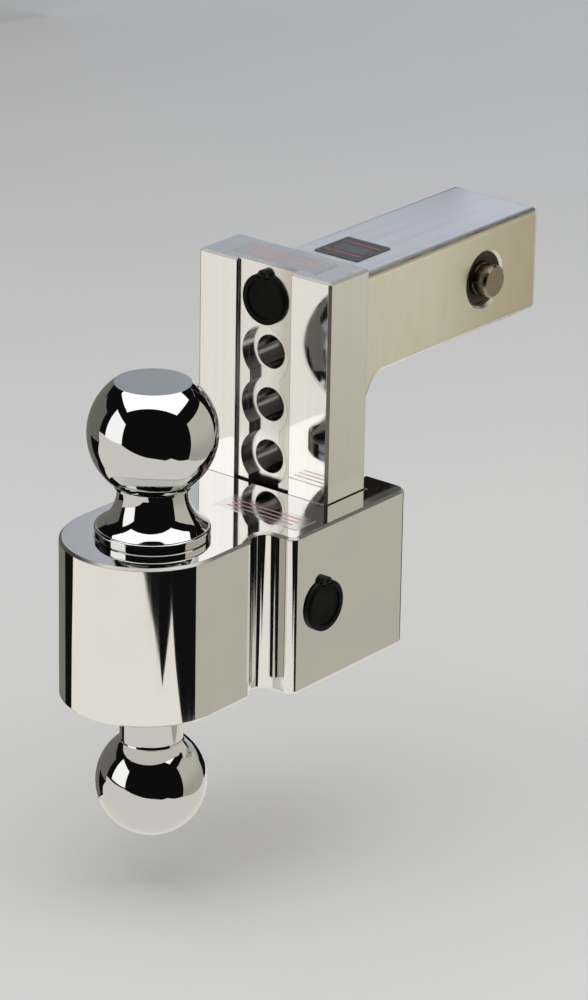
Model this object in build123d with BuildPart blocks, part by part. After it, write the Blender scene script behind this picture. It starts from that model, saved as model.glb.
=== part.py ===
from build123d import *
from math import cos, radians, sin, sqrt
import os

# Adjustable two-ball trailer hitch for a 2 in receiver, with key-operated hitch pins inside
# the shank and a key-operated height pin inside the ball head.
# Millimetres. Origin at the large ball's centre, +X towards the receiver, +Z up.

# ---------------------------------------------------------------- driving dimensions
inch = 25.4
large_ball_d = 2.3125 * inch      # coupler ball on top
small_ball_d = 2.0 * inch         # coupler ball underneath
large_ball_rise = 48.0            # head's top face to the large ball's centre
small_ball_drop = 44.3            # head's underside to the small ball's centre
edge_bevel = 1.2                  # polished bevel on column and head

head_height = 3.0 * inch
head_width = 105.0
head_front = 35.3                 # flat front face of the wide part of the head
head_rear = 119.0
nose_r = 39.0                     # round nose under the balls
nose_x = -4.0
relief_r = 6.5                    # round relief between the nose and the wide part
relief_y = 41.5                   # its centre from the centre plane

column_front = 3.0 * inch
column_width = 3.0 * inch
column_depth = 28.6
column_above = 106.0              # column's top above the head's top face
column_below = 74.0               # column's bottom below the head's top face
channel_width = 31.8              # shallow channel down the column's front
channel_depth = 1.7
pin_pitch = 1.0 * inch
seat_r = 13.25                    # counterbore around each height hole
seat_depth = 4.2
guide_slot_width = 17.4           # slot that joins the counterbores
height_hole_r = 8.0
height_hole_depth = 16.0

shank_size = 2.0 * inch
shank_above = 96.5                # shank's top above the head's top face
shank_end = 251.0
shank_corner_r = 3.5
gusset_foot_above = 6.2           # gusset's foot above the head's top face
gusset_slope = radians(60.0)

hitch_pin_x = 209.5
hitch_pin_r = 0.3125 * inch
hitch_pin_reach = 31.4            # end of an extended pin from the centre plane
hitch_pin_stroke = 6.5
gland_r = 13.2                    # bore in the shank's side for a pin's bush

lock_below = 16.0                 # receiver lock's axis below the column's top
lock_r = 11.0                     # lock housing
lock_length = 23.5
plug_r = 6.5
head_lock_x = 57.0
cap_r = 12.0                      # dust cap

running = 0.05                    # radial clearance of a turning or sliding fit
seat_gap = 0.02                   # gap between parts that are screwed or pressed together
slide_front_gap = 0.3             # head's slot to the column, front and rear
slide_side_gap = 0.8              # head's slot to the column, each side
end_gap = 0.1                     # axial gap behind a lock or a shaft
run_out = 1.0                     # how far a cut runs past the face it opens

# ---------------------------------------------------------------- derived positions
head_top = -large_ball_rise
head_bottom = head_top - head_height
head_pin_z = head_top - head_height / 2
column_top = head_top + column_above
column_bottom = head_top - column_below
column_rear = column_front + column_depth
channel_floor = column_front + channel_depth
seat_floor = channel_floor + seat_depth
height_hole_z = [head_pin_z + pin_pitch * step for step in range(-1, 5)]
shank_top = head_top + shank_above
shank_half = shank_size / 2
shank_z = shank_top - shank_half
shank_bottom = shank_top - shank_size
lock_z = column_top - lock_below
small_ball_z = head_bottom - small_ball_drop
slot_front = column_front - slide_front_gap
slot_rear = column_rear + slide_front_gap
slot_half = column_width / 2 + slide_side_gap
head_side = head_width / 2

os.makedirs("parts", exist_ok=True)


def save(builder, name):
    """Label the finished piece and write it as its own STEP."""
    builder.part.label = name
    export_step(builder.part, f"parts/{name}.step")


# ---------------------------------------------------------------- drawbar: column and shank
cover_thickness = 2.5
cover_screw_spread = 39.0         # square pattern of the end cover's screws
cover_screw_r = 2.0
cover_screw_length = 12.0
pocket_front = 196.0              # mechanism pocket, open at the shank's end
pocket_half = 14.0
pocket_floor = shank_z - 9.5
pocket_roof = shank_z + 23.0
pocket_corner_r = 2.0
shank_body_end = shank_end - cover_thickness
rod_r = 3.0
rod_tunnel_r = 4.0
rod_bearing_r = 5.0
rod_bearing_length = 8.0
junction_r = 3.0                  # fillet where the shank leaves the column
gusset_head_r = 8.0
set_screw_r = 2.5
receiver_screw_x = 90.0
overlap = 8.0                     # how far the arm is buried in the column

gusset_foot = head_top + gusset_foot_above
gusset_head_x = column_rear + (shank_bottom - gusset_foot) * cos(gusset_slope) / sin(gusset_slope)
lock_bore_end = channel_floor + lock_length + end_gap


def at_junction(edge):
    """Edges where the shank and its gusset meet the column's rear face."""
    box = edge.bounding_box()
    flat = abs(box.min.X - column_rear) < 0.01 and abs(box.max.X - column_rear) < 0.01
    inside = abs(edge.center().Y) < shank_half + 0.01
    return flat and inside and gusset_foot - 1 < edge.center().Z < shank_top + 0.01


with BuildPart() as drawbar:
    # shank and gusset as one side profile, its long edges rounded
    with BuildSketch(Plane.XZ) as arm_profile:
        with BuildLine():
            Polyline(
                (column_rear - overlap, shank_top),
                (shank_body_end, shank_top),
                (shank_body_end, shank_bottom),
                (gusset_head_x, shank_bottom),
                (column_rear, gusset_foot),
                (column_rear, gusset_foot - overlap),
                (column_rear - overlap, gusset_foot - overlap),
                close=True,
            )
        make_face()
        head_corner_point = arm_profile.vertices().sort_by_distance((gusset_head_x, shank_bottom))[0]
        fillet(head_corner_point, gusset_head_r)
    extrude(amount=shank_half, both=True)
    long_edges = drawbar.edges().filter_by(lambda e: abs(abs(e.center().Y) - shank_half) < 0.01)
    long_edges = long_edges.filter_by(lambda e: column_rear < e.center().X < shank_body_end - run_out)
    fillet(long_edges, shank_corner_r)

    # column
    with BuildSketch(Plane.XY.offset(column_bottom)):
        with Locations((column_front + column_depth / 2, 0)):
            Rectangle(column_depth, column_width)
    extrude(amount=column_top - column_bottom)
    fillet(drawbar.edges().filter_by(at_junction), junction_r)
    outer = drawbar.edges().filter_by(lambda e: e.center().X < column_rear + 0.01)
    rim = outer.filter_by(lambda e: abs(e.center().Z - column_top) < 0.01)
    uprights = outer.filter_by(Axis.Z).filter_by(lambda e: abs(abs(e.center().Y) - column_width / 2) < 0.01)
    chamfer(rim + uprights, edge_bevel)

    # channel, counterbores and the slot that joins them
    with BuildSketch(Plane.YZ.offset(column_front)):
        with Locations((0, (column_top + column_bottom) / 2)):
            Rectangle(channel_width, column_top - column_bottom)
    extrude(amount=channel_depth, mode=Mode.SUBTRACT)
    with BuildSketch(Plane.YZ.offset(channel_floor)):
        with Locations([(0, z) for z in height_hole_z]):
            Circle(seat_r)
        with Locations((0, column_bottom)):
            Rectangle(guide_slot_width, height_hole_z[-1] - column_bottom, align=(Align.CENTER, Align.MIN))
    extrude(amount=seat_depth, mode=Mode.SUBTRACT)
    with BuildSketch(Plane.YZ.offset(seat_floor)):
        with Locations([(0, z) for z in height_hole_z]):
            Circle(height_hole_r)
    extrude(amount=height_hole_depth, mode=Mode.SUBTRACT)

    # receiver lock's bore, the drive rod's tunnel and its bearing seat
    with BuildSketch(Plane.YZ.offset(channel_floor)):
        with Locations((0, lock_z)):
            Circle(lock_r + running)
    extrude(amount=lock_bore_end - channel_floor, mode=Mode.SUBTRACT)
    with BuildSketch(Plane.YZ.offset(lock_bore_end)):
        with Locations((0, lock_z)):
            Circle(rod_tunnel_r)
    extrude(amount=pocket_front - lock_bore_end, mode=Mode.SUBTRACT)
    with BuildSketch(Plane.YZ.offset(pocket_front)):
        with Locations((0, lock_z)):
            Circle(rod_bearing_r)
    extrude(amount=-rod_bearing_length, mode=Mode.SUBTRACT)
    with BuildSketch(Plane.XY.offset(column_top)):
        with Locations((receiver_screw_x, 0)):
            Circle(set_screw_r)
    extrude(amount=-lock_below, mode=Mode.SUBTRACT)

    # mechanism pocket, side bores for the hitch pins and the end cover's tapped holes
    with BuildSketch(Plane.YZ.offset(pocket_front)):
        with Locations((0, (pocket_roof + pocket_floor) / 2)):
            RectangleRounded(2 * pocket_half, pocket_roof - pocket_floor, pocket_corner_r)
    extrude(amount=shank_body_end - pocket_front, mode=Mode.SUBTRACT)
    with BuildSketch(Plane.XZ):
        with Locations((hitch_pin_x, shank_z)):
            Circle(gland_r)
    extrude(amount=shank_half, both=True, mode=Mode.SUBTRACT)
    mouths = drawbar.edges().filter_by(GeomType.CIRCLE)
    mouths = mouths.filter_by(lambda e: abs(abs(e.arc_center.Y) - shank_half) < 0.01)
    chamfer(mouths.filter_by(lambda e: abs(e.radius - gland_r) < 0.01), edge_bevel)
    with BuildSketch(Plane.YZ.offset(shank_body_end)):
        with Locations((0, shank_z)):
            with GridLocations(cover_screw_spread, cover_screw_spread, 2, 2):
                Circle(cover_screw_r)
    extrude(amount=-cover_screw_length, mode=Mode.SUBTRACT)
save(drawbar, "drawbar")

# ---------------------------------------------------------------- head block
stud_r = 12.65
rear_opening_half = 28.6          # lets the head pass the shank
head_front_corner_r = 4.5
shoulder_r = 6.0                  # rounding where the nose's side enters the relief
head_rear_corner_r = 6.0
lock_shaft_r = 8.2
lock_shaft_bore_r = lock_shaft_r + running
shaft_end_y = 3.0                 # the lock shaft's bore ends just past the centre plane
head_bush_r = 10.5
head_bush_front = 66.5
head_pin_chamber = 43.0
head_screw_y = -35.0
head_lock_bore_end = -head_side + lock_length + end_gap


def head_corner(x, vertices):
    """The profile's two outer corners at the given distance along X."""
    return vertices.filter_by(lambda v: abs(v.X - x) < 0.01 and abs(abs(v.Y) - head_side) < 0.01)


def at_shoulder(edge):
    """The upright edges where the nose's straight sides meet the reliefs."""
    middle = edge.center()
    return abs(abs(middle.Y) - nose_r) < 0.01 and nose_x + 1 < middle.X < head_front


with BuildPart() as head_block:
    with BuildSketch(Plane.XY.offset(head_bottom)) as head_profile:
        with Locations((head_front, 0)):
            Rectangle(head_rear - head_front, head_width, align=(Align.MIN, Align.CENTER))
        with Locations((nose_x, 0)):
            Rectangle(head_front - nose_x, 2 * nose_r, align=(Align.MIN, Align.CENTER))
            Circle(nose_r)
        with Locations((head_front - relief_r, 0)):
            Rectangle(relief_r, 2 * relief_y, align=(Align.MIN, Align.CENTER))
        with Locations((head_front - relief_r, relief_y), (head_front - relief_r, -relief_y)):
            Circle(relief_r, mode=Mode.SUBTRACT)
        fillet(head_corner(head_front, head_profile.vertices()), head_front_corner_r)
        fillet(head_corner(head_rear, head_profile.vertices()), head_rear_corner_r)
    extrude(amount=head_height)
    fillet(head_block.edges().filter_by(Axis.Z).filter_by(at_shoulder), shoulder_r)
    chamfer(head_block.faces().filter_by(Axis.Z).edges(), edge_bevel)

    # slot for the column, open at the rear for the shank
    with BuildSketch(Plane.XY.offset(head_bottom)):
        with Locations((slot_front, 0)):
            Rectangle(slot_rear - slot_front, 2 * slot_half, align=(Align.MIN, Align.CENTER))
        with Locations(((slot_rear + head_rear) / 2, 0)):
            Rectangle(head_rear - slot_rear + 2 * run_out, 2 * rear_opening_half)
    extrude(amount=head_height, mode=Mode.SUBTRACT)

    # bore for the balls' stud
    with BuildSketch(Plane.XY.offset(head_bottom)):
        Circle(stud_r + running)
    extrude(amount=head_height, mode=Mode.SUBTRACT)

    # height pin's chamber and bush seat, the lock's bore and the lock shaft's bore
    with BuildSketch(Plane.YZ.offset(head_pin_chamber)):
        with Locations((0, head_pin_z)):
            Circle(height_hole_r + running)
    extrude(amount=slot_front - head_pin_chamber, mode=Mode.SUBTRACT)
    with BuildSketch(Plane.YZ.offset(slot_front)):
        with Locations((0, head_pin_z)):
            Circle(head_bush_r)
    extrude(amount=head_bush_front - slot_front, mode=Mode.SUBTRACT)
    with BuildSketch(Plane.XZ.offset(head_side)):
        with Locations((head_lock_x, head_pin_z)):
            Circle(lock_r + running)
    extrude(amount=-lock_length - end_gap, mode=Mode.SUBTRACT)
    with BuildSketch(Plane.XZ.offset(-head_lock_bore_end)):
        with Locations((head_lock_x, head_pin_z)):
            Circle(lock_shaft_bore_r)
    extrude(amount=head_lock_bore_end - shaft_end_y, mode=Mode.SUBTRACT)
    with BuildSketch(Plane.YZ.offset(slot_front)):
        with Locations((head_screw_y, head_pin_z)):
            Circle(set_screw_r)
    extrude(amount=head_lock_x - slot_front, mode=Mode.SUBTRACT)
save(head_block, "head_block")

# ---------------------------------------------------------------- coupler balls
collar_r = 26.15
collar_height = 4.6
large_neck_r = 15.9
large_flat_r = 17.35
small_neck_r = 14.45
small_flat_r = 8.0
thread_r = 9.5                    # reduced end of the stud, screwed into the small ball
thread_length = 26.0
neck_step_r = 17.2                # thin step where the neck meets the large ball
neck_step_height = 1.6
neck_step_lap = 0.2               # its overlap with the ball
collar_break = 0.6                # broken edge under the collar
collar_lip_r = 1.2                # rounding where the flare meets the collar's rim
flare_r = 19.4                    # hollow flare between the neck and the collar
thread_chamfer = 1.0
neck_fillet_r = 2.5

large_ball_r = large_ball_d / 2
small_ball_r = small_ball_d / 2
lip_inner_r = collar_r - collar_lip_r
collar_face = head_top + collar_height
flare_start = collar_face + sqrt(flare_r**2 - (flare_r - lip_inner_r + large_neck_r) ** 2)
neck_step_top = -sqrt(large_ball_r**2 - neck_step_r**2) + neck_step_lap

with BuildPart() as ball_large:
    with BuildSketch(Plane.XZ):
        with BuildLine():
            Polyline(
                (large_neck_r, 0),
                (0, 0),
                (0, head_top),
                (collar_r - collar_break, head_top),
                (collar_r, head_top + collar_break),
                (collar_r, collar_face - collar_lip_r),
            )
            RadiusArc((collar_r, collar_face - collar_lip_r), (lip_inner_r, collar_face), -collar_lip_r)
            RadiusArc((lip_inner_r, collar_face), (large_neck_r, flare_start), flare_r)
            Line((large_neck_r, flare_start), (large_neck_r, 0))
        make_face()
    revolve(axis=Axis.Z)
    with BuildSketch(Plane.XY.offset(neck_step_top - neck_step_height)):
        Circle(neck_step_r)
    extrude(amount=neck_step_height)
    Sphere(large_ball_r)
    split(bisect_by=Plane.XY.offset(sqrt(large_ball_r**2 - large_flat_r**2)), keep=Keep.BOTTOM)
    with BuildSketch(Plane.XY.offset(head_top)):
        Circle(stud_r)
    extrude(amount=-head_height)
    with BuildSketch(Plane.XY.offset(head_bottom)):
        Circle(thread_r)
    extrude(amount=-thread_length)
    chamfer(ball_large.edges().sort_by(Axis.Z)[0], thread_chamfer)
save(ball_large, "ball_large")

with BuildPart() as ball_small:
    with BuildSketch(Plane.XY.offset(head_bottom)):
        Circle(small_neck_r)
    extrude(amount=small_ball_z - head_bottom)
    with Locations((0, 0, small_ball_z)):
        Sphere(small_ball_r)
    joint_z = small_ball_z + sqrt(small_ball_r**2 - small_neck_r**2)
    neck_joint = ball_small.edges().filter_by(lambda e: abs(e.center().Z - joint_z) < 0.1)
    fillet(neck_joint, neck_fillet_r)
    split(bisect_by=Plane.XY.offset(small_ball_z - sqrt(small_ball_r**2 - small_flat_r**2)), keep=Keep.TOP)
    with BuildSketch(Plane.XY.offset(head_bottom)):
        Circle(thread_r + seat_gap)
    extrude(amount=-thread_length - run_out, mode=Mode.SUBTRACT)
save(ball_small, "ball_small")

# ---------------------------------------------------------------- key locks
# Both locks are alike. A lock stands on its own plane: origin on the lock's axis at the face it
# sits in, z outwards, y towards the dust cap's hinge.
face_plate = 0.8                  # bezel's plate on the face
cap_height = 2.4                  # cap's outer face above the lock's face
cap_gap = 0.05
cap_recess_r = 9.2                # sunk middle of the cap
cap_recess_depth = 0.7
cap_rim_r = 0.7
cap_boss_r = 5.2                  # boss under the cap that closes the key opening
cap_boss_depth = 0.45
key_opening_r = 5.9
ear_r = 3.3
ear_y = cap_r - 1.1
hinge_y = cap_r - 0.6             # dust cap's hinge pin
hinge_height = 1.25
knuckle_r = 1.15
knuckle_gap = 0.2
tongue_width = 2.4
tongue_slot = 2.6
tongue_lap = 0.3                  # tongue's overlap with the cap
ear_half = 3.2
cap_notch_half = 3.5
cap_notch_y = cap_r - 2.0
hinge_pin_r = 0.5
hinge_pin_length = 6.0
plug_length = 19.9
plug_sink = 0.1                   # plug's face below the housing's face
key_slot = (1.4, 8.0)
key_slot_depth = 12.0
lock_tail_r = 4.0                 # driven end of the head's lock shaft
ring_r = 0.65                     # sealing ring's section
ring_y = 5.5                      # its depth below the face
rod_socket = 4.0                  # how far the driven shaft reaches into the plug

receiver_lock_plane = Plane(origin=(channel_floor, 0, lock_z), x_dir=(0, -1, 0), z_dir=(-1, 0, 0))
head_lock_plane = Plane(origin=(head_lock_x, -head_side, head_pin_z), x_dir=(1, 0, 0), z_dir=(0, -1, 0))


def hinge_plane(face):
    """Plane through the cap's hinge pin, its z along the pin."""
    centre = face.from_local_coords((0, hinge_y, hinge_height))
    return Plane(origin=centre, x_dir=face.z_dir, z_dir=face.x_dir)


def make_housing(face, shaft_r):
    """Lock cylinder's body with its plug bore, sealing groove and screw flat."""
    with BuildPart() as housing:
        with BuildSketch(face):
            Circle(lock_r)
        extrude(amount=-lock_length)
        with BuildSketch(face):
            Circle(plug_r + running)
        extrude(amount=-plug_length - plug_sink - running, mode=Mode.SUBTRACT)
        with BuildSketch(face.offset(-lock_length)):
            Circle(shaft_r + end_gap)
        extrude(amount=lock_length - plug_length, mode=Mode.SUBTRACT)
        with BuildSketch(face.offset(-ring_y - 1.5 * ring_r)):
            Circle(lock_r + run_out)
            Circle(lock_r - 2 * ring_r, mode=Mode.SUBTRACT)
        extrude(amount=3 * ring_r, mode=Mode.SUBTRACT)
    return housing


def make_plug(face, socket_r):
    """Key plug: a blind key slot in front and a round socket for the driven shaft behind."""
    with BuildPart() as plug:
        with BuildSketch(face.offset(-plug_sink)):
            Circle(plug_r)
        extrude(amount=-plug_length)
        with BuildSketch(face.offset(-plug_sink)):
            Rectangle(*key_slot)
        extrude(amount=-key_slot_depth, mode=Mode.SUBTRACT)
        with BuildSketch(face.offset(-plug_sink - plug_length)):
            Circle(socket_r + seat_gap)
        extrude(amount=rod_socket, mode=Mode.SUBTRACT)
    return plug


def make_ring(face):
    """Rubber ring in the housing's groove."""
    with BuildPart() as ring:
        with BuildSketch(Plane(origin=face.origin, x_dir=face.x_dir, z_dir=face.y_dir)):
            with Locations((lock_r - ring_r, ring_y)):
                Circle(ring_r)
        revolve(axis=Axis(face.origin, face.z_dir))
    return ring


def make_bezel(face):
    """Plate round the key opening, with a round ear that carries the cap's hinge pin."""
    with BuildPart() as bezel:
        with BuildSketch(face):
            Circle(cap_r)
            with Locations((0, ear_y)):
                Circle(ear_r)
            Circle(key_opening_r, mode=Mode.SUBTRACT)
        extrude(amount=face_plate)
        with BuildSketch(face):
            with Locations((0, ear_y)):
                Circle(ear_r)
            with Locations((0, hinge_y)):
                Rectangle(3 * ear_r, 2 * ear_r, align=(Align.CENTER, Align.MIN), mode=Mode.INTERSECT)
        extrude(amount=cap_height)
        with BuildSketch(hinge_plane(face)):
            Circle(knuckle_r)
        extrude(amount=ear_half, both=True)
        with BuildSketch(face):
            with Locations((0, hinge_y)):
                Rectangle(tongue_slot, 2 * (knuckle_r + knuckle_gap))
        extrude(amount=cap_height, mode=Mode.SUBTRACT)
        with BuildSketch(hinge_plane(face)):
            Circle(hinge_pin_r + seat_gap)
        extrude(amount=ear_half + run_out, both=True, mode=Mode.SUBTRACT)
    return bezel


def make_cap(face):
    """Rubber dust cap: raised rim, sunk middle, a boss underneath and a hinge tongue."""
    base = face_plate + cap_gap
    with BuildPart() as cap:
        with BuildSketch(face.offset(base)):
            Circle(cap_r)
        extrude(amount=cap_height - base)
        outer_rim = cap.edges().filter_by(GeomType.CIRCLE).group_by(Axis(face.origin, face.z_dir))[-1]
        fillet(outer_rim, cap_rim_r)
        with BuildSketch(face.offset(cap_height)):
            Circle(cap_recess_r)
        extrude(amount=-cap_recess_depth, mode=Mode.SUBTRACT)
        with BuildSketch(face):
            with Locations((0, cap_notch_y)):
                Rectangle(2 * cap_notch_half, cap_r, align=(Align.CENTER, Align.MIN))
        extrude(amount=cap_height + run_out, mode=Mode.SUBTRACT)
        with BuildSketch(face.offset(base)):
            Circle(cap_boss_r)
        extrude(amount=-cap_boss_depth)
        with BuildSketch(hinge_plane(face)):
            Circle(knuckle_r)
            with Locations(((base + cap_height) / 2 - hinge_height, 0)):
                tongue_reach = hinge_y - cap_notch_y + tongue_lap
                Rectangle(cap_height - base, tongue_reach, align=(Align.CENTER, Align.MIN))
        extrude(amount=tongue_width / 2, both=True)
        with BuildSketch(hinge_plane(face)):
            Circle(hinge_pin_r + running)
        extrude(amount=tongue_width, both=True, mode=Mode.SUBTRACT)
    return cap


def make_hinge_pin(face):
    """Wire pin through the bezel's ear and the cap's tongue."""
    with BuildPart() as pin:
        with BuildSketch(hinge_plane(face)):
            Circle(hinge_pin_r)
        extrude(amount=hinge_pin_length / 2, both=True)
    return pin


for name, face, shaft_r in (("receiver", receiver_lock_plane, rod_r), ("head", head_lock_plane, lock_tail_r)):
    save(make_housing(face, shaft_r), f"{name}_lock_housing")
    save(make_plug(face, shaft_r), f"{name}_lock_plug")
    save(make_ring(face), f"{name}_lock_ring")
    save(make_bezel(face), f"{name}_lock_bezel")
    save(make_cap(face), f"{name}_dust_cap")
    save(make_hinge_pin(face), f"{name}_cap_hinge_pin")

# ---------------------------------------------------------------- set screws of the two locks
screw_sink = 0.5
socket_r = 1.25                   # corners of the hexagon socket
socket_depth = 2.0


def make_set_screw(face, length):
    """Cup-point grub screw with a hexagon socket, its face just under the given plane."""
    with BuildPart() as screw:
        with BuildSketch(face.offset(-screw_sink)):
            Circle(set_screw_r - seat_gap)
        extrude(amount=-length)
        with BuildSketch(face.offset(-screw_sink)):
            RegularPolygon(socket_r, 6)
        extrude(amount=-socket_depth, mode=Mode.SUBTRACT)
    return screw


receiver_screw_length = lock_below - lock_r - screw_sink - seat_gap
head_screw_length = slot_front - head_lock_x - lock_r - screw_sink - seat_gap
receiver_screw_plane = Plane(origin=(receiver_screw_x, 0, column_top))
head_screw_plane = Plane(origin=(slot_front, head_screw_y, head_pin_z), z_dir=(1, 0, 0))
save(make_set_screw(receiver_screw_plane, receiver_screw_length), "receiver_lock_set_screw")
save(make_set_screw(head_screw_plane, head_screw_length), "head_lock_set_screw")

# ---------------------------------------------------------------- hitch pin drive in the shank
# The lock turns a rod; its crank pushes the right pin's yoke sideways, and an idler disc with two
# opposed pegs passes the stroke on to the left pin's yoke, so that both pins move together.
peg_r = 1.5
peg_gap = 0.25                    # takes up the difference between an arc and a straight stroke
crank_throw = hitch_pin_stroke / 2 / sin(radians(45))
half_stroke = hitch_pin_stroke / 2
pin_flat = 5.0                    # flat on each pin's inner end, from the pin's axis
pin_inner = 8.0                   # inner end of an extended pin from the centre plane
pin_flat_length = 6.5
yoke_front = hitch_pin_x + pin_flat + running
yoke_thickness = 2.9
yoke_rear = yoke_front + yoke_thickness
crank_front = 210.0
crank_rear = 213.6
peg_end_gap = 0.25
rod_rear = crank_rear - end_gap
idler_front = yoke_rear + peg_end_gap
idler_thickness = 3.0
idler_r = 7.0
pivot_r = 2.0
boss_r = 5.0
crank_hub_r = 3.8
crank_arm_half = 2.3
peg_slot = 5.4                    # length of a yoke's slot for a peg
peg_slot_shift = 0.6              # its centre beyond the peg's height at rest
roll_pin_r = 1.5
roll_pin_wall = 0.5
roll_pin_slit = 0.6
roll_pin_y = 10.9
roll_pin_z = 3.2
roll_pin_front = 204.0

rod_front = channel_floor + plug_sink + plug_length - rod_socket
with BuildPart() as drive_rod:
    with BuildSketch(Plane.YZ.offset(rod_front)):
        with Locations((0, lock_z)):
            Circle(rod_r)
    extrude(amount=rod_rear - rod_front)
save(drive_rod, "drive_rod")

with BuildPart() as drive_crank:
    with BuildSketch(Plane.YZ.offset(crank_front)):
        with Locations((0, lock_z)):
            Circle(crank_hub_r)
        with Locations((-half_stroke, lock_z - half_stroke)):
            Circle(crank_arm_half)
        with Locations((-half_stroke / 2, lock_z - half_stroke / 2)):
            Rectangle(crank_throw, 2 * crank_arm_half, rotation=45)
        with Locations((0, lock_z)):
            Circle(rod_r + seat_gap, mode=Mode.SUBTRACT)
    extrude(amount=crank_rear - crank_front)
    with BuildSketch(Plane.YZ.offset(crank_rear)):
        with Locations((-half_stroke, lock_z - half_stroke)):
            Circle(peg_r)
    extrude(amount=yoke_rear - crank_rear)
save(drive_crank, "drive_crank")

with BuildPart() as rod_bearing:
    with BuildSketch(Plane.YZ.offset(pocket_front - rod_bearing_length)):
        with Locations((0, lock_z)):
            Circle(rod_bearing_r - seat_gap)
            Circle(rod_r + running, mode=Mode.SUBTRACT)
    extrude(amount=rod_bearing_length)
save(rod_bearing, "rod_bearing")

with BuildPart() as idler_disc:
    with BuildSketch(Plane.YZ.offset(idler_front)):
        with Locations((0, shank_z)):
            Circle(idler_r)
            Circle(pivot_r + running, mode=Mode.SUBTRACT)
    extrude(amount=idler_thickness)
    with BuildSketch(Plane.YZ.offset(idler_front)):
        with Locations((-half_stroke, shank_z + half_stroke), (half_stroke, shank_z - half_stroke)):
            Circle(peg_r)
    extrude(amount=yoke_front + peg_end_gap - idler_front)
save(idler_disc, "idler_disc")

# ---------------------------------------------------------------- hitch pins, one on each side
body_r = hitch_pin_r - 0.04       # ground length that runs in the bush
gland_face = 3.0                  # bush's outer face below the shank's side
seal_r = 10.5
seal_depth = 1.8
seal_lip = 0.5
spanner_hole_r = 1.0
spanner_hole_spread = 11.8
nose_chamfer = 1.0
nose_start = shank_half           # the pin's full-size nose begins at the shank's side
groove_width = 1.4                # dirt groove behind the nose
groove_depth = 0.4
pad_reach = 13.7                  # yoke's outer edge from the centre plane
stem_outer = 7.7
stem_inner = 1.2
pad_height = 7.8
half_gap = 0.5                    # each yoke keeps to its own side of the shank's axis
stem_height = 19.5                # right yoke's stem, up to the crank's peg


def side_plane(side, distance):
    """Plane across a hitch pin at a distance from the centre plane, its normal outwards."""
    return Plane(origin=(hitch_pin_x, side * distance, shank_z), x_dir=(1, 0, 0), z_dir=(0, side, 0))


def make_hitch_pin(side):
    """Hitch pin with a flat and a cross hole at its inner end for the yoke."""
    with BuildPart() as pin:
        with BuildSketch(side_plane(side, pin_inner)):
            Circle(body_r)
        extrude(amount=nose_start - groove_width - pin_inner)
        with BuildSketch(side_plane(side, nose_start - groove_width)):
            Circle(body_r - groove_depth)
        extrude(amount=groove_width)
        with BuildSketch(side_plane(side, nose_start)):
            Circle(hitch_pin_r)
        extrude(amount=hitch_pin_reach - nose_start)
        tip = pin.edges().sort_by(Axis((0, 0, 0), (0, side, 0)))[-1]
        chamfer(tip, nose_chamfer)
        with BuildSketch(side_plane(side, pin_inner)):
            with Locations((pin_flat, 0)):
                Rectangle(hitch_pin_r, 3 * hitch_pin_r, align=(Align.MIN, Align.CENTER))
        extrude(amount=pin_flat_length, mode=Mode.SUBTRACT)
        with BuildSketch(Plane.YZ.offset(hitch_pin_x + pin_flat)):
            with Locations((side * roll_pin_y, shank_z - side * roll_pin_z)):
                Circle(roll_pin_r + seat_gap)
        extrude(amount=roll_pin_front - hitch_pin_x - pin_flat, mode=Mode.SUBTRACT)
    return pin


def make_roll_pin(side):
    """Slotted spring pin that fixes a yoke on its hitch pin."""
    with BuildPart() as pin:
        with BuildSketch(Plane.YZ.offset(roll_pin_front)):
            with Locations((side * roll_pin_y, shank_z - side * roll_pin_z)):
                Circle(roll_pin_r)
                Circle(roll_pin_r - roll_pin_wall, mode=Mode.SUBTRACT)
                Rectangle(roll_pin_slit, 2 * roll_pin_r, align=(Align.CENTER, Align.MIN), mode=Mode.SUBTRACT)
        extrude(amount=yoke_rear - roll_pin_front)
    return pin


def make_yoke(side):
    """Flat yoke: a pad on the pin, a slot for the idler's peg and, on the right, one for the crank."""
    up = -side
    with BuildPart() as yoke:
        with BuildSketch(Plane.YZ.offset(yoke_front)):
            with BuildLine():
                Polyline(
                    (side * pad_reach, shank_z + up * half_gap),
                    (side * pad_reach, shank_z + up * pad_height),
                    (-side * stem_inner, shank_z + up * pad_height),
                    (-side * stem_inner, shank_z + up * half_gap),
                    close=True,
                )
            make_face()
            if side < 0:
                with Locations((-(stem_outer - stem_inner) / 2, shank_z)):
                    Rectangle(stem_outer + stem_inner, stem_height, align=(Align.CENTER, Align.MIN))
                with Locations((0, shank_z)):
                    Rectangle(3 * pad_reach, half_gap, align=(Align.CENTER, Align.MIN), mode=Mode.SUBTRACT)
            with Locations((side * half_stroke, shank_z + up * (half_stroke + peg_slot_shift))):
                SlotOverall(peg_slot, 2 * (peg_r + peg_gap), rotation=90, mode=Mode.SUBTRACT)
            if side < 0:
                with Locations((-half_stroke, lock_z - half_stroke - peg_slot_shift)):
                    SlotOverall(peg_slot, 2 * (peg_r + peg_gap), rotation=90, mode=Mode.SUBTRACT)
            with Locations((side * roll_pin_y, shank_z + up * roll_pin_z)):
                Circle(roll_pin_r + seat_gap, mode=Mode.SUBTRACT)
        extrude(amount=yoke_thickness)
    return yoke


def make_pin_bush(side):
    """Screwed-in bush that guides a hitch pin, with a seat for its wiper seal."""
    outer_face = shank_half - gland_face
    with BuildPart() as bush:
        with BuildSketch(side_plane(side, pocket_half)):
            Circle(gland_r - seat_gap)
            Circle(hitch_pin_r + running, mode=Mode.SUBTRACT)
        extrude(amount=outer_face - pocket_half)
        with BuildSketch(side_plane(side, outer_face)):
            Circle(seal_r)
        extrude(amount=-seal_depth, mode=Mode.SUBTRACT)
        with BuildSketch(side_plane(side, outer_face)):
            with PolarLocations(spanner_hole_spread, 2):
                Circle(spanner_hole_r)
        extrude(amount=-seal_depth, mode=Mode.SUBTRACT)
    return bush


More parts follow.
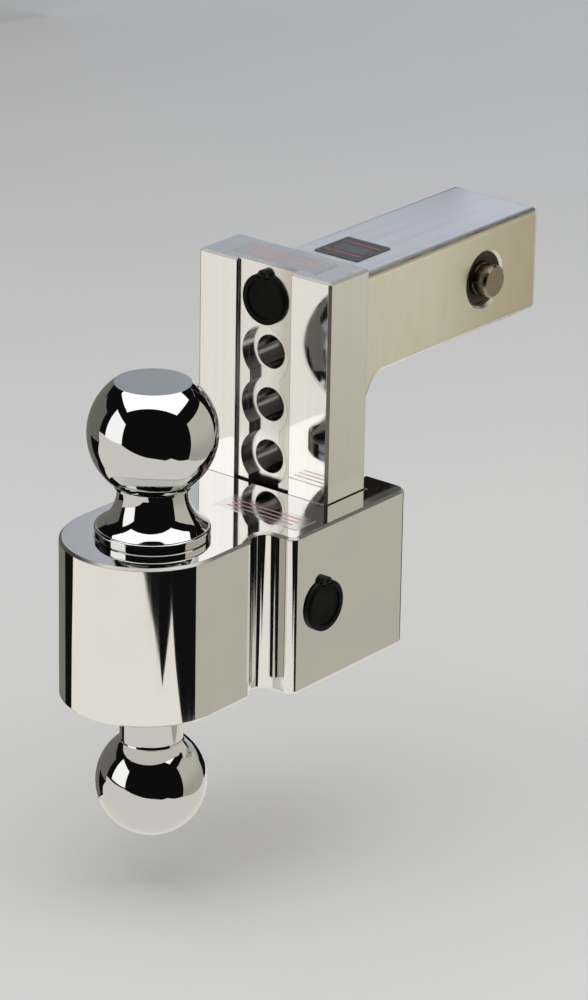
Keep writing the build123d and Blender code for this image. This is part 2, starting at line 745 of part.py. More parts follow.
def make_wiper_seal(side):
    """Rubber wiper round the hitch pin, let into the bush's face."""
    outer_face = shank_half - gland_face
    with BuildPart() as seal:
        with BuildSketch(side_plane(side, outer_face)):
            Circle(seal_r - seat_gap)
            Circle(hitch_pin_r + running, mode=Mode.SUBTRACT)
        extrude(amount=-seal_depth + seat_gap)
        lips = seal.edges().group_by(Axis((0, 0, 0), (0, side, 0)))[-1]
        chamfer(lips.sort_by(SortBy.RADIUS)[0], seal_lip)
    return seal


for side, word in ((-1, "right"), (1, "left")):
    save(make_hitch_pin(side), f"hitch_pin_{word}")
    save(make_roll_pin(side), f"roll_pin_{word}")
    save(make_yoke(side), f"yoke_{word}")
    save(make_pin_bush(side), f"pin_bush_{word}")
    save(make_wiper_seal(side), f"wiper_seal_{word}")

# ---------------------------------------------------------------- shank's end cover
boss_end = idler_front + idler_thickness + end_gap
pivot_length = 16.0
cover_hole_r = 2.1
screw_head_r = 3.4
screw_head_height = 1.4
screw_socket_depth = 1.6
head_sink = 0.1                   # screw heads below the cover's face
with BuildPart() as end_cover:
    with BuildSketch(Plane.YZ.offset(shank_body_end)):
        with Locations((0, shank_z)):
            RectangleRounded(shank_size, shank_size, shank_corner_r)
    extrude(amount=cover_thickness)
    chamfer(end_cover.faces().sort_by(Axis.X)[-1].edges(), edge_bevel)
    with BuildSketch(Plane.YZ.offset(boss_end)):
        with Locations((0, shank_z)):
            Circle(boss_r)
    extrude(amount=shank_body_end - boss_end)
    with BuildSketch(Plane.YZ.offset(boss_end)):
        with Locations((0, shank_z)):
            Circle(pivot_r + seat_gap)
    extrude(amount=pivot_length - idler_thickness, mode=Mode.SUBTRACT)
    with Locations(Plane.YZ.offset(shank_end) * Pos(0, shank_z, 0)):
        with GridLocations(cover_screw_spread, cover_screw_spread, 2, 2):
            CounterSinkHole(cover_hole_r, screw_head_r + 2 * head_sink, depth=cover_thickness)
save(end_cover, "end_cover")

with BuildPart() as idler_pivot:
    with BuildSketch(Plane.YZ.offset(idler_front)):
        with Locations((0, shank_z)):
            Circle(pivot_r)
    extrude(amount=pivot_length)
save(idler_pivot, "idler_pivot")

with BuildPart() as cover_screws:
    for location in GridLocations(cover_screw_spread, cover_screw_spread, 2, 2):
        centre = (shank_end - head_sink, location.position.X, shank_z + location.position.Y)
        head_face = Plane(origin=centre, x_dir=(0, 1, 0), z_dir=(1, 0, 0))
        with BuildSketch(head_face):
            Circle(screw_head_r)
        extrude(amount=-screw_head_height, taper=45)
        with BuildSketch(head_face.offset(-screw_head_height)):
            Circle(cover_screw_r - seat_gap)
        extrude(amount=-cover_screw_length + run_out)
        with BuildSketch(head_face):
            RegularPolygon(socket_r, 6)
        extrude(amount=-screw_socket_depth, mode=Mode.SUBTRACT)
save(cover_screws, "cover_screws")

# ---------------------------------------------------------------- height pin in the head
head_pin_front = 44.0
head_pin_nose = 81.6              # its nose stays in the guide slot when it is drawn back
head_pin_flat = 3.9               # flat on its right side, facing the lock shaft
head_peg_r = 2.0
head_peg_throw = 6.0
shaft_end = 4.0                   # shaft's end face from the centre plane
peg_reach = 2.5
peg_slot_depth = 2.8
flat_end = 65.7                   # the flat ends just past the lock shaft
cut_width = 20.0
cut_depth = 10.0
head_pin_body_r = height_hole_r - running
peg_offset = head_peg_throw * sin(radians(45))

with BuildPart() as head_pin:
    with BuildSketch(Plane.YZ.offset(head_pin_front)):
        with Locations((0, head_pin_z)):
            Circle(head_pin_body_r)
    extrude(amount=head_pin_nose - head_pin_front)
    chamfer(head_pin.edges().filter_by(GeomType.CIRCLE).sort_by(Axis.X)[-1], nose_chamfer)
    with BuildSketch(Plane.XZ.offset(head_pin_flat)):
        with Locations((head_pin_front - run_out, head_pin_z)):
            Rectangle(flat_end - head_pin_front + run_out, cut_width, align=(Align.MIN, Align.CENTER))
    extrude(amount=cut_depth, mode=Mode.SUBTRACT)
    with BuildSketch(Plane.XZ.offset(head_pin_flat)):
        with Locations((head_lock_x - peg_offset, head_pin_z + peg_offset - head_peg_r - peg_gap)):
            Rectangle(2 * (head_peg_r + peg_gap), cut_width, align=(Align.CENTER, Align.MIN))
    extrude(amount=-(head_pin_flat + peg_slot_depth), mode=Mode.SUBTRACT)
save(head_pin, "head_pin")

with BuildPart() as head_pin_bush:
    with BuildSketch(Plane.YZ.offset(head_bush_front)):
        with Locations((0, head_pin_z)):
            Circle(head_bush_r - seat_gap)
            Circle(height_hole_r, mode=Mode.SUBTRACT)
    extrude(amount=slot_front - head_bush_front)
save(head_pin_bush, "head_pin_bush")

shaft_start = 28.6                # shaft's shoulder, just behind the lock housing
tail_end = head_side - plug_sink - plug_length + rod_socket
with BuildPart() as head_lock_shaft:
    with BuildSketch(Plane.XZ.offset(shaft_start)):
        with Locations((head_lock_x, head_pin_z)):
            Circle(lock_shaft_r)
    extrude(amount=-shaft_start + shaft_end)
    with BuildSketch(Plane.XZ.offset(shaft_start)):
        with Locations((head_lock_x, head_pin_z)):
            Circle(lock_tail_r)
    extrude(amount=tail_end - shaft_start)
    with BuildSketch(Plane.XZ.offset(shaft_end)):
        with Locations((head_lock_x - peg_offset, head_pin_z + peg_offset)):
            Circle(head_peg_r)
    extrude(amount=-shaft_end - peg_reach)
save(head_lock_shaft, "head_lock_shaft")

# ---------------------------------------------------------------- plain badge and labels
badge_size = 25.4
badge_centre = (142.8, 1.7)
badge_thickness = 0.4
label_thickness = 0.15
column_label_size = (17.0, 50.0)
head_label_size = (15.0, 48.0)
head_label_centre = (52.0, -22.0)
label_corner_r = 1.0

with BuildPart() as badge:
    with BuildSketch(Plane.XY.offset(shank_top)):
        with Locations(badge_centre):
            RectangleRounded(badge_size, badge_size, label_corner_r)
    extrude(amount=badge_thickness)
save(badge, "badge")

with BuildPart() as column_label:
    with BuildSketch(Plane.XY.offset(column_top)):
        with Locations((column_front + column_depth / 2, 0)):
            RectangleRounded(*column_label_size, label_corner_r)
    extrude(amount=label_thickness)
save(column_label, "column_label")

with BuildPart() as head_label:
    with BuildSketch(Plane.XY.offset(head_top)):
        with Locations(head_label_centre):
            RectangleRounded(*head_label_size, label_corner_r)
    extrude(amount=label_thickness)
save(head_label, "head_label")
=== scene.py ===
import math

import bpy
from mathutils import Euler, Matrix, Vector

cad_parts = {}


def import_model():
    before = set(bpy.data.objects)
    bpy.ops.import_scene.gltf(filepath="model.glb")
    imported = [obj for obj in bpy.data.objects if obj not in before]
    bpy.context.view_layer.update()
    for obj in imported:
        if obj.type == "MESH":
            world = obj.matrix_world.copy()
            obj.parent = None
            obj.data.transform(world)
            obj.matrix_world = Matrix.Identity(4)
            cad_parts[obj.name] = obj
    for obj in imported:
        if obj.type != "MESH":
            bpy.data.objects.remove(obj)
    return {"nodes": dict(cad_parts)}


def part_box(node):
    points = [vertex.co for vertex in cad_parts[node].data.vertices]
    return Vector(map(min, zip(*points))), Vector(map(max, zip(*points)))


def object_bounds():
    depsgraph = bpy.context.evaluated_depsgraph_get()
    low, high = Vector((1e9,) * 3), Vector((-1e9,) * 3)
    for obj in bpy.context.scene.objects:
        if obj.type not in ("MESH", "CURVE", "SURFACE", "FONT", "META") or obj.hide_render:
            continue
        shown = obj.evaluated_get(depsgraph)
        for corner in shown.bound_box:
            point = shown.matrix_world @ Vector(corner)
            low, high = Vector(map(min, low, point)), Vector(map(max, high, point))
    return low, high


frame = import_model()
nodes = frame["nodes"]
cad_low, cad_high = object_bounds()


# ---------------------------------------------------------------- places read from the frame
ball_low, ball_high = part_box("ball_large")
small_low, small_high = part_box("ball_small")
head_low, head_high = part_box("head_block")
drawbar_low, drawbar_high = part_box("drawbar")
badge_low, badge_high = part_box("badge")

nose_r = 0.039             # head's round nose
column_depth = 0.0286      # column, front to rear
channel_half = 0.0159      # half width of the channel down the column's front
seat_depth = 0.006         # column's front to the floor of the height holes' seats
small_flat_r = 0.008       # flat under the small ball
hole_pitch = 0.0254        # one step of the head's height
floor_gap = 0.0006         # floor to the small ball in the head's lowest position

large_ball_r = (ball_high.x - ball_low.x) / 2
small_ball_r = (small_high.x - small_low.x) / 2
small_ball_rise = math.sqrt(small_ball_r**2 - small_flat_r**2)
small_ball_centre = Vector((0, 0, small_low.z + small_ball_rise))
nose_x = head_low.x + nose_r
column_front = drawbar_low.x
column_rear = column_front + column_depth
column_half = drawbar_high.y


# ---------------------------------------------------------------- node graph helpers
def rgba(colour):
    return colour if isinstance(colour, bpy.types.NodeSocket) else (*colour, 1)


def scaled(colour, factor):
    return tuple(channel * factor for channel in colour)


class Graph:
    """A material's node tree with short calls for the nodes used here."""

    def __init__(self, name):
        self.material = bpy.data.materials.new(name)
        self.material.use_nodes = True
        self.tree = self.material.node_tree
        self.tree.nodes.clear()
        self.output = self.add("OutputMaterial")
        self.geometry = self.add("NewGeometry")
        self.place = self.add("TexCoord").outputs["Object"]

    def add(self, kind):
        return self.tree.nodes.new("ShaderNode" + kind)

    def set(self, socket, value):
        if isinstance(value, bpy.types.NodeSocket):
            self.tree.links.new(value, socket)
        elif value is not None:
            socket.default_value = value

    def math(self, operation, a, b=None):
        node = self.add("Math")
        node.operation = operation
        self.set(node.inputs[0], a)
        self.set(node.inputs[1], b)
        return node.outputs[0]

    def vector(self, operation, a, b=None):
        node = self.add("VectorMath")
        node.operation = operation
        self.set(node.inputs[0], a)
        self.set(node.inputs[1], b)
        return node.outputs["Value" if operation == "LENGTH" else "Vector"]

    def axes(self, vector):
        node = self.add("SeparateXYZ")
        self.set(node.inputs[0], vector)
        return node.outputs[0], node.outputs[1], node.outputs[2]

    def join(self, x, y, z):
        node = self.add("CombineXYZ")
        for socket, value in zip(node.inputs, (x, y, z)):
            self.set(socket, value)
        return node.outputs[0]

    def ramp(self, value, low, high, to_low=0.0, to_high=1.0):
        """Smooth step from to_low at low to to_high at high."""
        node = self.add("MapRange")
        node.interpolation_type = "SMOOTHSTEP"
        for socket, number in zip(node.inputs, (value, low, high, to_low, to_high)):
            self.set(socket, number)
        return node.outputs[0]

    def below(self, value, low, high):
        """1 below low, falling to 0 at high."""
        return self.ramp(value, low, high, 1.0, 0.0)

    def within(self, value, low, high, soft=0.0002):
        """1 between low and high, falling to 0 over a short distance."""
        rise = self.ramp(value, low - soft, low + soft)
        return self.math("MULTIPLY", rise, self.below(value, high - soft, high + soft))

    def size(self, value):
        return self.math("ABSOLUTE", value)

    def both(self, first, *masks):
        for mask in masks:
            first = self.math("MULTIPLY", first, mask)
        return first

    def noise(self, scale, stretch=(1, 1, 1), detail=3.0, rough=0.5, distortion=0.0):
        node = self.add("TexNoise")
        self.set(node.inputs["Vector"], self.vector("MULTIPLY", self.place, stretch))
        self.set(node.inputs["Scale"], scale)
        self.set(node.inputs["Detail"], detail)
        self.set(node.inputs["Roughness"], rough)
        self.set(node.inputs["Distortion"], distortion)
        return node.outputs[0]

    def mixed(self, kind, factor, a, b):
        node = self.add("Mix")
        node.data_type = kind
        self.set(node.inputs["Factor"], factor)
        self.set(node.inputs["A"], a)
        self.set(node.inputs["B"], b)
        return node.outputs["Result"]

    def blend(self, factor, a, b):
        return self.mixed("RGBA", factor, rgba(a), rgba(b))

    def mix(self, factor, a, b):
        return self.mixed("FLOAT", factor, a, b)

    def bump(self, height, distance, strength, normal=None):
        node = self.add("Bump")
        self.set(node.inputs["Height"], height)
        self.set(node.inputs["Distance"], distance)
        self.set(node.inputs["Strength"], strength)
        self.set(node.inputs["Normal"], normal)
        return node.outputs[0]

    def soft_edges(self, radius):
        """Normal that runs round the edges within the radius, as on a polished piece."""
        node = self.add("Bevel")
        node.samples = 6
        self.set(node.inputs["Radius"], radius)
        return node.outputs[0]

    def mirrored(self):
        """1 where another surface's reflection shows this one."""
        return self.add("LightPath").outputs["Is Glossy Ray"]

    def surface(self, colour, roughness, metallic=1.0, normal=None, specular=0.5):
        node = self.add("BsdfPrincipled")
        self.set(node.inputs["Base Color"], rgba(colour))
        self.set(node.inputs["Roughness"], roughness)
        self.set(node.inputs["Metallic"], metallic)
        self.set(node.inputs["Normal"], normal)
        self.set(node.inputs["Specular IOR Level"], specular)
        self.tree.links.new(node.outputs[0], self.output.inputs["Surface"])
        return self.material


# ---------------------------------------------------------------- polished materials
chrome_colour = (0.655, 0.66, 0.655)
aluminium_colour = (0.885, 0.875, 0.85)
edge_radius = 0.0004
surface_skin = 0.00008     # how far a mesh's facets dip under the exact round surface
round_top = 0.0002         # how far above it still counts as the surface


def on_round(g, distance, radius):
    return g.within(distance, radius - surface_skin, radius + round_top, 0.00002)


def chrome(name, middle, radius, flat_z, flat_sign):
    """Chrome plate with faint handling haze; the turned flat is satin."""
    g = Graph(name)
    x, y, z = g.axes(g.place)
    past_flat = g.math("MULTIPLY", g.math("SUBTRACT", z, flat_z), flat_sign)
    flat = g.ramp(past_flat, -0.00006, -0.00002)
    haze = g.noise(38, detail=5)
    grain = g.noise(900, detail=2)
    satin = g.ramp(grain, 0.3, 0.7, 0.3, 0.42)
    rough = g.mix(flat, g.ramp(haze, 0.35, 0.75, 0.018, 0.04), satin)
    turned = g.blend(grain, (0.56, 0.61, 0.62), (0.70, 0.74, 0.735))
    colour = g.blend(flat, chrome_colour, turned)

    offset = g.vector("SUBTRACT", g.place, tuple(middle))
    on_ball = on_round(g, g.vector("LENGTH", offset), radius)
    exact = g.vector("NORMALIZE", offset)
    smooth = g.mixed("VECTOR", on_ball, g.geometry.outputs["Normal"], exact)
    radial = g.vector("LENGTH", g.join(x, y, 0.0))
    tool_lines = g.math("SINE", g.math("MULTIPLY", radial, 9500.0))
    normal = g.bump(g.math("MULTIPLY", tool_lines, flat), 0.000004, 0.6, smooth)
    return g.surface(colour, rough, normal=normal)


def polished_drawbar():
    """Mirror-polished column, satin machined recesses and a brushed shank."""
    g = Graph("drawbar_aluminium")
    x, y, _ = g.axes(g.place)
    nx, ny, nz = g.axes(g.geometry.outputs["Normal"])
    shank = g.ramp(x, column_rear + 0.0006, column_rear + 0.0022)
    column = g.below(x, column_rear, column_rear + 0.001)
    channel = g.below(g.size(y), channel_half, channel_half + 0.0003)
    recess = g.both(g.within(x, column_front + 0.0009, column_rear), channel)
    bore = g.both(recess, g.ramp(x, column_front + seat_depth - 0.0002, column_front + seat_depth + 0.0002))
    top = g.both(g.ramp(nz, 0.9, 0.98), column)
    shank_up = g.both(shank, g.ramp(nz, 0.6, 0.95))
    shank_side = g.both(shank, g.ramp(g.size(ny), 0.6, 0.95))
    shank_corner = g.both(shank, g.within(nz, 0.25, 0.85, 0.08))
    slanted_x = g.within(g.size(nx), 0.5, 0.85, 0.05)
    slanted_y = g.within(g.size(ny), 0.5, 0.85, 0.05)
    upright_edge = g.both(slanted_x, slanted_y, column)
    top_edge = g.both(g.within(nz, 0.4, 0.88, 0.06), column)

    upright = g.noise(520, (1, 1, 0.012))
    lengthwise = g.noise(300, (0.02, 1, 1), detail=4)
    crosswise = g.noise(260, (1, 1, 0.05), detail=4, rough=0.6)
    smears = g.noise(70, (1.0, 1.0, 0.28), detail=5, rough=0.62)
    mottle = g.noise(150, (1, 1, 0.7), detail=6, rough=0.7)

    rough = g.mix(recess, g.ramp(upright, 0.3, 0.75, 0.03, 0.075), g.ramp(crosswise, 0.3, 0.7, 0.13, 0.26))
    rough = g.mix(top, rough, g.ramp(mottle, 0.3, 0.7, 0.3, 0.42))
    rough = g.mix(shank, rough, g.ramp(smears, 0.3, 0.7, 0.24, 0.42))
    rough = g.mix(shank_up, rough, g.ramp(lengthwise, 0.3, 0.7, 0.3, 0.4))
    rough = g.mix(bore, rough, 0.11)
    rough = g.mix(upright_edge, rough, 0.34)
    rough = g.mix(top_edge, rough, 0.5)

    colour = g.blend(g.ramp(upright, 0.3, 0.7), scaled(aluminium_colour, 0.97), aluminium_colour)
    # painted reflection: the shank's side is tinted warm beige, as if mirroring the warm boards, and
    # painted darker towards the shank's far end
    side_reflection_tint = g.blend(g.ramp(smears, 0.32, 0.68), (0.93, 0.88, 0.745), (1.0, 0.975, 0.87))
    side_reflection_tint = g.blend(g.ramp(x, 0.15, 0.245), side_reflection_tint, (0.70, 0.63, 0.49))
    colour = g.blend(shank_side, colour, side_reflection_tint)
    # painted reflection: the shank's top is tinted pale blue, the backdrop it mirrors
    colour = g.blend(shank_up, colour, g.blend(lengthwise, (0.92, 0.96, 1.0), (0.97, 1.0, 1.0)))
    colour = g.blend(top, colour, g.blend(mottle, (0.76, 0.78, 0.775), (0.85, 0.865, 0.865)))
    shaded = g.blend(g.ramp(y, -channel_half, 0.004), (0.60, 0.575, 0.52), (0.86, 0.845, 0.81))
    colour = g.blend(recess, colour, shaded)
    # painted shade: the seats of the height holes are painted darker grey
    colour = g.blend(bore, colour, (0.62, 0.61, 0.59))
    # painted shade: the column's upright and top edge faces are painted darker, warm brown on the upright
    # edges
    colour = g.blend(upright_edge, colour, (0.62, 0.56, 0.47))
    colour = g.blend(top_edge, colour, (0.66, 0.64, 0.6))
    # painted shade: the rounded edge between the shank's top and side is painted as a darker grey band
    colour = g.blend(shank_corner, colour, (0.62, 0.59, 0.53))
    # painted shade: other surfaces' reflections of the drawbar are painted 16% darker
    colour = g.blend(g.math("MULTIPLY", g.mirrored(), 0.16), colour, (0.0, 0.0, 0.0))

    height = g.mix(shank, g.math("MULTIPLY", upright, 0.03), g.math("MULTIPLY", crosswise, 0.12))
    height = g.math("ADD", height, g.math("MULTIPLY", g.both(recess, crosswise), 0.5))
    normal = g.bump(height, 0.00004, 0.35, g.soft_edges(edge_radius))
    return g.surface(colour, rough, normal=normal)


def polished_head():
    """Mirror-polished head with faint upright polishing lines; the slot inside is machined."""
    g = Graph("head_aluminium")
    x, y, z = g.axes(g.place)
    slot = g.both(
        g.within(x, column_front - 0.0002, head_high.x - 0.0004, 0.0001),
        g.below(g.size(y), column_half + 0.0010, column_half + 0.0013),
        g.below(z, head_high.z - 0.0002, head_high.z - 0.0001))
    upright = g.noise(420, (1, 1, 0.008))
    cloud = g.noise(26, detail=4)
    mill = g.noise(340, (0.05, 0.05, 1))
    rough = g.mix(slot, g.ramp(upright, 0.3, 0.75, 0.028, 0.07), g.ramp(mill, 0.3, 0.7, 0.16, 0.3))
    colour = g.blend(g.ramp(cloud, 0.35, 0.7), scaled(aluminium_colour, 0.965), aluminium_colour)
    colour = g.blend(slot, colour, (0.8, 0.79, 0.76))

    # painted shade: where other surfaces reflect the head from above, it is painted darker grey, the
    # steeper the darker
    steepness = g.axes(g.geometry.outputs["Incoming"])[2]
    reflected_head_shade = g.blend(g.ramp(steepness, 0.5, 0.95), (0.78, 0.77, 0.74), (0.42, 0.415, 0.4))
    colour = g.blend(g.both(g.mirrored(), g.ramp(steepness, 0.2, 0.3)), colour, reflected_head_shade)
    # painted shade: the slanted edge faces of the head are painted darker grey
    edge = g.within(g.axes(g.geometry.outputs["Normal"])[2], 0.4, 0.88, 0.06)
    colour = g.blend(edge, colour, (0.5, 0.49, 0.465))
    rough = g.mix(edge, rough, 0.3)

    radial = g.join(g.math("SUBTRACT", x, nose_x), y, 0.0)
    on_nose = g.both(on_round(g, g.vector("LENGTH", radial), nose_r), g.below(x, nose_x, nose_x + 0.0005))
    smooth = g.mixed("VECTOR", on_nose, g.soft_edges(edge_radius), g.vector("NORMALIZE", radial))
    lines = g.math("MULTIPLY", upright, 0.03)
    height = g.math("ADD", lines, g.math("MULTIPLY", g.both(slot, mill), 0.6))
    return g.surface(colour, rough, normal=g.bump(height, 0.00003, 0.3, smooth))


def brushed_cover():
    """Shank's end cover, the same brushed aluminium as the shank."""
    g = Graph("cover_aluminium")
    smears = g.noise(70, (1.0, 1.0, 0.28), detail=5, rough=0.62, distortion=0.6)
    fine = g.noise(600, (1, 0.05, 1))
    colour = g.blend(g.ramp(smears, 0.32, 0.68), (0.78, 0.745, 0.65), (0.9, 0.87, 0.78))
    height = g.math("ADD", smears, g.math("MULTIPLY", fine, 0.4))
    return g.surface(colour, g.ramp(fine, 0.3, 0.7, 0.24, 0.38), normal=g.bump(height, 0.00003, 0.3))


# ---------------------------------------------------------------- plain materials
def turned_steel(name, colour, low, high):
    """Turned or ground metal: fine tool lines and slight staining; low to high is its roughness."""
    g = Graph(name)
    fine = g.noise(700, (1, 0.06, 1))
    stain = g.noise(110, detail=5, rough=0.6)
    tone = g.blend(g.ramp(stain, 0.35, 0.7), colour, scaled(colour, 0.86))
    return g.surface(tone, g.ramp(fine, 0.3, 0.7, low, high), normal=g.bump(fine, 0.00001, 0.3))


def cast_metal(name, colour, low, high):
    """Die-cast or sintered metal: fine grain and soft colour variation."""
    g = Graph(name)
    grain = g.noise(1400)
    stain = g.noise(90, detail=4)
    tone = g.blend(g.ramp(stain, 0.3, 0.7), colour, scaled(colour, 0.85))
    return g.surface(tone, g.ramp(grain, 0.3, 0.7, low, high), normal=g.bump(grain, 0.00002, 0.4))


def rubber(name, colour, low, high):
    """Moulded rubber or plastic: fine pebble and a little dust."""
    g = Graph(name)
    pebble = g.noise(2600)
    dust = g.noise(160, detail=5, rough=0.65)
    tone = g.blend(g.ramp(dust, 0.52, 0.78), colour, scaled(colour, 1.7))
    rough = g.ramp(dust, 0.3, 0.75, low, high)
    return g.surface(tone, rough, metallic=0.0, normal=g.bump(pebble, 0.00003, 0.35), specular=0.11)


def badge_resin():
    """Domed dark badge with two thin red lines, a paler middle and a plain border."""
    g = Graph("badge_resin")
    x, y, _ = g.axes(g.place)
    middle = (badge_low + badge_high) / 2
    half = (badge_high.x - badge_low.x) / 2
    across = g.math("DIVIDE", g.size(g.math("SUBTRACT", x, middle.x)), half)
    along = g.math("DIVIDE", g.size(g.math("SUBTRACT", y, middle.y)), half)
    line = g.both(g.within(across, 0.52, 0.58, 0.00015 / half), g.below(along, 0.8, 0.84))
    border = g.math("MAXIMUM", g.ramp(across, 0.9, 0.93), g.ramp(along, 0.9, 0.93))
    panel_area = g.both(g.below(across, 0.3, 0.34), g.below(along, 0.62, 0.66))
    weave = g.noise(420, detail=2)
    field = g.blend(weave, (0.014, 0.0135, 0.0125), (0.03, 0.029, 0.028))
    field = g.blend(g.math("MULTIPLY", panel_area, 0.55), field, (0.075, 0.083, 0.083))
    field = g.blend(line, field, (0.42, 0.035, 0.03))
    field = g.blend(border, field, (0.06, 0.05, 0.04))
    rough = g.ramp(weave, 0.3, 0.7, 0.16, 0.3)
    return g.surface(field, rough, metallic=0.0, normal=g.bump(weave, 0.00002, 0.2), specular=0.32)


def clear_label(name, node, film_colour, gloss):
    """Clear film label: plain, with three thin red rules in place of any wording."""
    g = Graph(name)
    low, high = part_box(node)
    middle = (low + high) / 2
    half_length = (high.y - low.y) / 2
    pitch = 0.0036
    x, y, _ = g.axes(g.place)
    offset = g.math("SUBTRACT", x, middle.x)
    rows = g.math("FRACT", g.math("ADD", g.math("DIVIDE", offset, pitch), 0.5))
    rule = g.below(g.size(g.math("SUBTRACT", rows, 0.5)), 0.13, 0.17)
    three = g.below(g.size(offset), 1.5 * pitch - 0.0001, 1.5 * pitch + 0.0001)
    ends = g.below(g.size(g.math("SUBTRACT", y, middle.y)), half_length * 0.78, half_length * 0.8)
    ink = g.ramp(g.noise(900), 0.3, 0.5, 0.35, 0.75)
    mask = g.both(rule, three, ends, ink)
    film = g.noise(60)
    colour = g.blend(mask, g.blend(film, film_colour, scaled(film_colour, 0.95)), (0.62, 0.16, 0.15))
    rough = g.mix(mask, g.ramp(film, 0.3, 0.7, gloss, gloss + 0.06), 0.4)
    return g.surface(colour, rough, metallic=g.mix(mask, 1.0, 0.0))


def paint(material, *names):
    for name in names:
        slots = nodes[name].data.materials
        slots.clear()
        slots.append(material)


def paint_locks(material, part):
    paint(material, "receiver_" + part, "head_" + part)


paint(polished_drawbar(), "drawbar")
paint(polished_head(), "head_block")
paint(brushed_cover(), "end_cover")
paint(chrome("chrome_large", (0, 0, 0), large_ball_r, ball_high.z, 1), "ball_large")
paint(chrome("chrome_small", small_ball_centre, small_ball_r, small_low.z, -1), "ball_small")

cap_rubber = rubber("cap_rubber", (0.0035, 0.0034, 0.0031), 0.5, 0.65)
drive_steel = turned_steel("drive_steel", (0.5, 0.5, 0.5), 0.24, 0.4)
screw_steel = cast_metal("screw_steel", (0.22, 0.22, 0.23), 0.25, 0.4)
paint_locks(cast_metal("lock_zinc", (0.56, 0.55, 0.53), 0.28, 0.45), "lock_housing")
paint_locks(turned_steel("lock_brass", (0.78, 0.62, 0.33), 0.16, 0.32), "lock_plug")
paint_locks(rubber("bezel_plastic", (0.016, 0.0155, 0.015), 0.28, 0.45), "lock_bezel")
paint_locks(cap_rubber, "dust_cap")
paint_locks(cap_rubber, "lock_ring")
paint_locks(drive_steel, "cap_hinge_pin")
paint_locks(screw_steel, "lock_set_screw")
paint(screw_steel, "cover_screws")
paint(drive_steel, "drive_rod", "drive_crank", "yoke_right", "yoke_left", "idler_disc", "idler_pivot")
paint(drive_steel, "head_lock_shaft", "roll_pin_right", "roll_pin_left")
# painted shade and reflection: the wiper seals are painted dark brown, the look of the shaded pin holes
paint(rubber("seal_rubber", (0.05, 0.038, 0.027), 0.4, 0.6), "wiper_seal_right", "wiper_seal_left")
# painted reflection: the stainless pins are tinted brown, as if mirroring warm surroundings
pin_stainless = turned_steel("pin_stainless", (0.335, 0.28, 0.205), 0.2, 0.36)
paint(pin_stainless, "hitch_pin_right", "hitch_pin_left", "head_pin")
# painted shade and reflection: the pin bushes are painted dark brown, the look of the shaded pin holes
paint(cast_metal("bush_steel", (0.07, 0.055, 0.037), 0.25, 0.4), "pin_bush_right", "pin_bush_left")
paint(cast_metal("bearing_bronze", (0.62, 0.42, 0.24), 0.3, 0.45), "rod_bearing", "head_pin_bush")
paint(badge_resin(), "badge")
paint(clear_label("column_label_film", "column_label", (0.74, 0.75, 0.75), 0.33), "column_label")
paint(clear_label("head_label_film", "head_label", (0.80, 0.79, 0.77), 0.1), "head_label")


# ---------------------------------------------------------------- studio
def glow(name, colour, strength, dim=None):
    """Even glow; dim = (axis, low, high, share) darkens it towards the low end of an axis."""
    g = Graph(name)
    node = g.add("Emission")
    g.set(node.inputs["Color"], rgba(colour))
    g.set(node.inputs["Strength"], strength)
    if dim is not None:
        axis, low, high, share = dim
        value = g.axes(g.geometry.outputs["Position"])[axis]
        g.set(node.inputs["Strength"], g.math("MULTIPLY", g.ramp(value, low, high, share, 1.0), strength))
    g.tree.links.new(node.outputs[0], g.output.inputs["Surface"])
    return g.material


def sheet(name, corners, material):
    """A flat piece of the studio."""
    mesh = bpy.data.meshes.new(name)
    mesh.from_pydata(corners, [], [tuple(range(len(corners)))])
    mesh.materials.append(material)
    piece = bpy.data.objects.new(name, mesh)
    bpy.context.scene.collection.objects.link(piece)
    return piece


def panel(name, corners, material):
    """A studio panel seen in reflections and as light, never by the camera."""
    piece = sheet(name, corners, material)
    piece.visible_camera = False
    piece.visible_shadow = False


def upright_board(a, b, low, high):
    """Corners of an upright board standing over the line a-b."""
    return [(*a, low), (*b, low), (*b, high), (*a, high)]


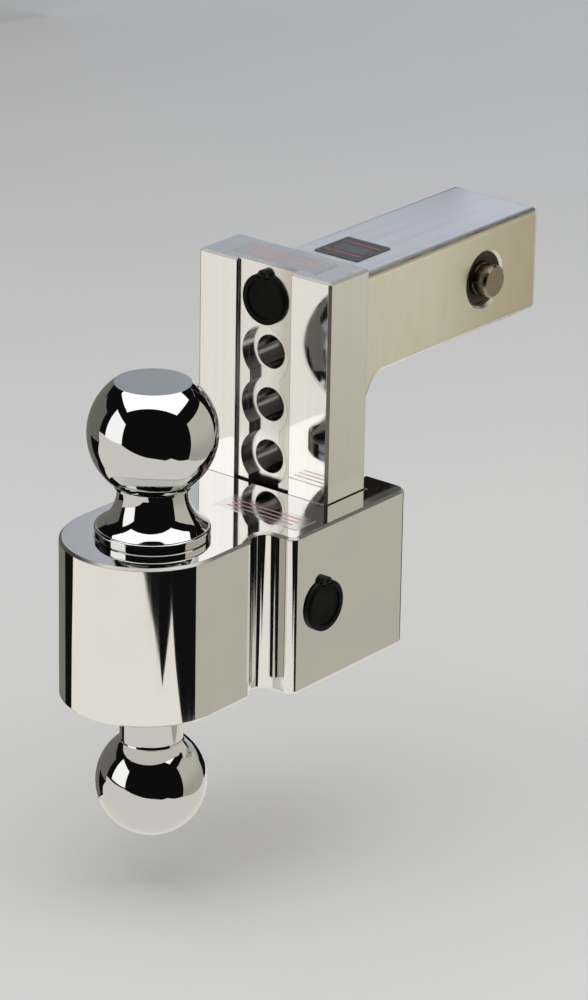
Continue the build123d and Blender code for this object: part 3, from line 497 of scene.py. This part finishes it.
def studio():
    """Panels laid out so that the balls and the polished faces reflect what the photo shows."""
    table_z = -0.45
    near_edge = [(0.2, -0.72), (-0.01, -0.745), (-0.17, -0.83), (-0.265, -0.895), (-0.33, -0.81)]
    near_edge += [(-0.39, -0.712), (-0.457, -0.725), (-0.6, -0.695), (-0.77, -0.62), (-0.95, -0.5)]
    far_edge = [(-1.25, -0.34), (-3.6, 0.98), (-3.6, 5.0), (-2.4, 5.0), (-0.72, 1.42), (-0.25, 0.8)]
    right_edge = [(-0.1, 0.5), (0.72, 0.3), (0.9, -0.08)]
    table = [(x, y, table_z) for x, y in near_edge + far_edge + right_edge]
    panel("table_glow", table, glow("table_light", (1.0, 0.965, 0.90), 0.84))

    board_glow = glow("board_light", (1.0, 0.965, 0.83), 0.635, (2, -0.32, 0.02, 0.75))
    panel("right_board", upright_board((0.22, -0.70), (0.90, -0.08), table_z, 0.29), board_glow)
    softbox = [(-0.175, 1.04, 1.0), (-1.0, 0.445, 1.0), (0.143, -1.166, 1.0), (1.107, -0.624, 1.0)]
    panel("top_softbox", softbox, glow("softbox_light", (1.0, 1.0, 1.0), 1.6))
    left = [(-1.06, 1.19, -0.14), (-1.95, 0.47, -0.245), (-1.95, 0.47, 0.95), (-1.06, 1.19, 1.1)]
    panel("left_board", left, glow("left_light", (1.0, 1.0, 0.985), 1.36))
    brown_glow = glow("brown_light", (1.0, 0.95, 0.84), 0.185)
    panel("brown_board", upright_board((0.07, 1.40), (-0.62, 1.25), -0.4, 0.5), brown_glow)
    panel("brown_board_far", upright_board((1.05, 1.0), (0.07, 1.40), -0.95, 0.42), brown_glow)
    backdrop_glow = glow("backdrop_light", (0.86, 0.90, 1.0), 0.66, (1, 1.18, 0.9, 0.66))
    panel("backdrop_glow", upright_board((1.9, 0.25), (0.7, 1.75), -0.1, 1.15), backdrop_glow)
    rear_glow = glow("rear_light", (0.95, 0.97, 1.0), 0.5)
    panel("rear_board", upright_board((2.4, -0.5), (2.4, 0.75), -0.25, 0.9), rear_glow)
    flag_dark = glow("flag_dark", (1.0, 0.9, 0.8), 0.01)
    panel("dark_flag", upright_board((0.32, 0.07), (0.27, 0.13), 0.02, 0.075), flag_dark)


def floor():
    """Plain pale floor, matt, under the head's lowest position; sharp reflections don't show it."""
    g = Graph("floor_pale")
    grain = g.noise(5, detail=4)
    tone = g.blend(grain, (0.76, 0.76, 0.75), (0.8, 0.8, 0.79))
    g.surface(tone, 0.9, metallic=0.0)
    reach = 60.0
    z = cad_low.z - hole_pitch - floor_gap
    corners = [(-reach, -reach, z), (reach, -reach, z), (reach, reach, z), (-reach, reach, z)]
    sheet("floor", corners, g.material).visible_glossy = False


def world():
    """Pale behind the object, dim fill for matt surfaces and a dark room in the reflections."""
    studio_world = bpy.data.worlds.new("studio")
    bpy.context.scene.world = studio_world
    studio_world.use_nodes = True
    tree = studio_world.node_tree
    tree.nodes.clear()

    def background(colour):
        node = tree.nodes.new("ShaderNodeBackground")
        node.inputs["Color"].default_value = rgba(colour)
        return node.outputs[0]

    def choose(factor, a, b):
        node = tree.nodes.new("ShaderNodeMixShader")
        for socket, output in zip(node.inputs, (factor, a, b)):
            tree.links.new(output, socket)
        return node.outputs[0]

    path = tree.nodes.new("ShaderNodeLightPath").outputs
    fill = background((0.5, 0.5, 0.51))
    room = background((0.006, 0.006, 0.0065))
    shown = background((0.78, 0.79, 0.8))
    unseen = choose(path["Is Glossy Ray"], fill, room)
    output = tree.nodes.new("ShaderNodeOutputWorld")
    tree.links.new(choose(path["Is Camera Ray"], unseen, shown), output.inputs["Surface"])


def camera():
    """The photo's viewpoint, found from the balls' and the shank's standard sizes."""
    data = bpy.data.cameras.new("camera")
    data.sensor_width = 36.0
    data.lens = 163.56
    data.clip_start = 0.05
    data.clip_end = 200.0
    piece = bpy.data.objects.new("camera", data)
    bpy.context.scene.collection.objects.link(piece)
    piece.location = (-1.4240, -1.2130, 0.7158)
    heading = math.radians(38.505)
    pitch = math.radians(-21.772)
    roll = math.radians(1.001)
    quarter = math.radians(90)
    turn = Euler((quarter + pitch, 0, heading - quarter)).to_matrix()
    tilt = Euler((0, 0, roll)).to_matrix()
    piece.rotation_euler = (turn @ tilt).to_euler()
    bpy.context.scene.camera = piece


studio()
floor()
world()
camera()
bpy.context.scene.view_settings.view_transform = "Standard"
